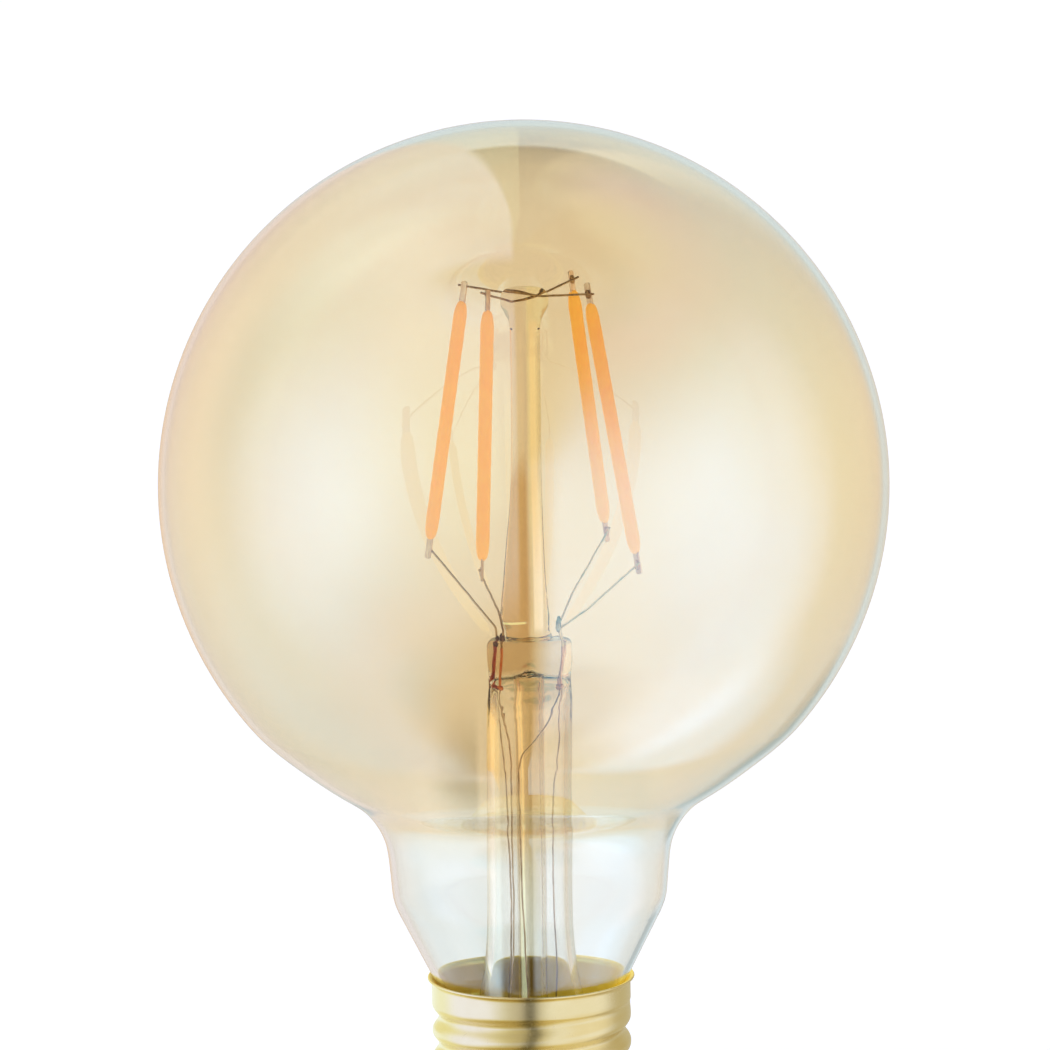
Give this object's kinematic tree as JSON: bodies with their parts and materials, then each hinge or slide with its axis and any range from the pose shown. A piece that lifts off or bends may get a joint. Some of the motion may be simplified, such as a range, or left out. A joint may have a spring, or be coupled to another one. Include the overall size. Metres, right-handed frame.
{
  "type": "globe bulb",
  "caption": "Globe lamp bulb with an amber glass globe, LED filament strips on a glass stem and a brass screw cap.",
  "frame": {"origin": "on the lamp's axis, at the face of the centre contact, which is the middle of the bottom of its box", "axes": "+Z along the lamp's axis from the cap to the globe; +X to the right and +Y away in the picture's view"},
  "size_m": [0.095, 0.095, 0.138],
  "materials": {
    "globe_glass": "thin amber metal-oxide coat on clear blown glass, fading out at the neck",
    "clear_glass": "clear drawn glass",
    "nickel_wire": "drawn nickel wire, slightly dull",
    "copper_clad": "copper-clad wire, red-brown where the glass wets it",
    "copper_lead": "bare thin copper lead",
    "phosphor": "phosphor-loaded silicone over a row of chips",
    "tab_metal": "plated strip",
    "cap_brass": "bright rolled brass, lacquered",
    "black_glass": "pressed black glass",
    "contact_metal": "stamped brass",
    "pin_metal": "plated pin head",
    "cement": "lamp cement",
    "board": "glass-fibre board with green mask",
    "chip_black": "moulded package with tinned legs",
    "can": "sleeved can",
    "resistor": "lacquered resistor body",
    "ferrite": "wound drum core",
    "wire_skin": "insulated wire"
  },
  "bodies": {
    "root": {"bridge_rectifier": "chip_black", "cap_insulator": "black_glass", "cap_shell": "cap_brass", "cement_ring": "cement", "centre_contact": "contact_metal", "chip_resistors": "chip_black", "contact_pin": "pin_metal", "driver_board": "board", "driver_ic": "chip_black", "electrolytic_capacitor": "can", "exhaust_tube": "clear_glass", "filament_tabs_1": "tab_metal", "filament_tabs_2": "tab_metal", "filament_tabs_3": "tab_metal", "filament_tabs_4": "tab_metal", "filter_choke": "ferrite", "fusible_resistor": "resistor", "glass_envelope": "globe_glass", "led_filament_1": "phosphor", "led_filament_2": "phosphor", "led_filament_3": "phosphor", "led_filament_4": "phosphor", "lower_arm_1": "nickel_wire", "lower_arm_2": "nickel_wire", "lower_arm_3": "nickel_wire", "lower_arm_4": "nickel_wire", "outer_lead_1": "copper_lead", "outer_lead_2": "copper_lead", "outer_lead_3": "copper_lead", "outer_lead_4": "copper_lead", "seal_wire_1": "copper_clad", "seal_wire_2": "copper_clad", "seal_wire_3": "copper_clad", "seal_wire_4": "copper_clad", "stem_flare": "clear_glass", "support_rod": "clear_glass", "upper_wire_a": "nickel_wire", "upper_wire_b": "nickel_wire", "wire_to_contact": "wire_skin", "wire_to_shell": "wire_skin"}
  },
  "joints": []
}
